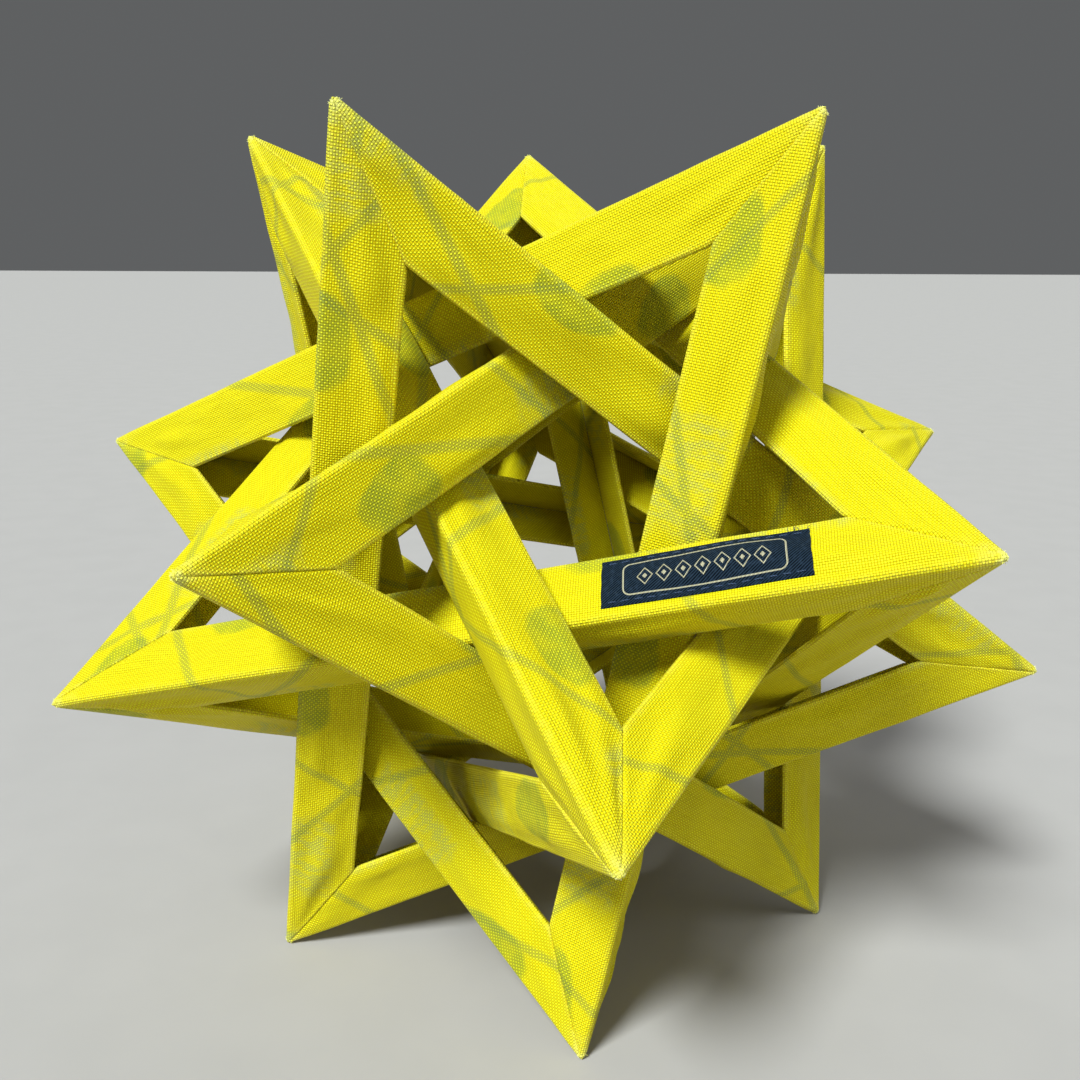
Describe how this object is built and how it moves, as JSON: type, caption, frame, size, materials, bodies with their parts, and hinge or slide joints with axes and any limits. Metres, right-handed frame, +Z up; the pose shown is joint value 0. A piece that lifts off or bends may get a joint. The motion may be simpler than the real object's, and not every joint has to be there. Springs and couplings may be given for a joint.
{
  "type": "folded cloth star lantern",
  "caption": "Openwork star of interlocking tetrahedral frames folded from woven yellow cloth, free-standing seasonal decoration.",
  "frame": {"origin": "on the floor, under the star's centre", "axes": "+Z up, through the middle of the pentagon of tips it stands on; front towards -Y, where the label faces front and a little to the left of the top"},
  "size_m": [0.248, 0.2608, 0.211],
  "materials": {
    "star_cloth": "woven, matte, stiffened",
    "card_core": "matte",
    "label_cloth": "fine damask weave, satin",
    "label_thread": "satin thread"
  },
  "bodies": {
    "root": {"frame_a_cover_top_upper": "star_cloth", "frame_a_cover_top_lower": "star_cloth", "frame_a_cover_top_bottom": "star_cloth", "frame_a_cover_upper_lower": "star_cloth", "frame_a_cover_upper_bottom": "star_cloth", "frame_a_cover_lower_bottom": "star_cloth", "frame_b_cover_top_upper": "star_cloth", "frame_b_cover_top_lower": "star_cloth", "frame_b_cover_top_bottom": "star_cloth", "frame_b_cover_upper_lower": "star_cloth", "frame_b_cover_upper_bottom": "star_cloth", "frame_b_cover_lower_bottom": "star_cloth", "frame_c_cover_top_upper": "star_cloth", "frame_c_cover_top_lower": "star_cloth", "frame_c_cover_top_bottom": "star_cloth", "frame_c_cover_upper_lower": "star_cloth", "frame_c_cover_upper_bottom": "star_cloth", "frame_c_cover_lower_bottom": "star_cloth", "frame_d_cover_top_upper": "star_cloth", "frame_d_cover_top_lower": "star_cloth", "frame_d_cover_top_bottom": "star_cloth", "frame_d_cover_upper_lower": "star_cloth", "frame_d_cover_upper_bottom": "star_cloth", "frame_d_cover_lower_bottom": "star_cloth", "frame_e_cover_top_upper": "star_cloth", "frame_e_cover_top_lower": "star_cloth", "frame_e_cover_top_bottom": "star_cloth", "frame_e_cover_upper_lower": "star_cloth", "frame_e_cover_upper_bottom": "star_cloth", "frame_e_cover_lower_bottom": "star_cloth", "frame_a_boards": "card_core", "frame_b_boards": "card_core", "frame_c_boards": "card_core", "frame_d_boards": "card_core", "frame_e_boards": "card_core", "woven_label": "label_cloth", "label_stitches": "label_thread"}
  },
  "joints": []
}
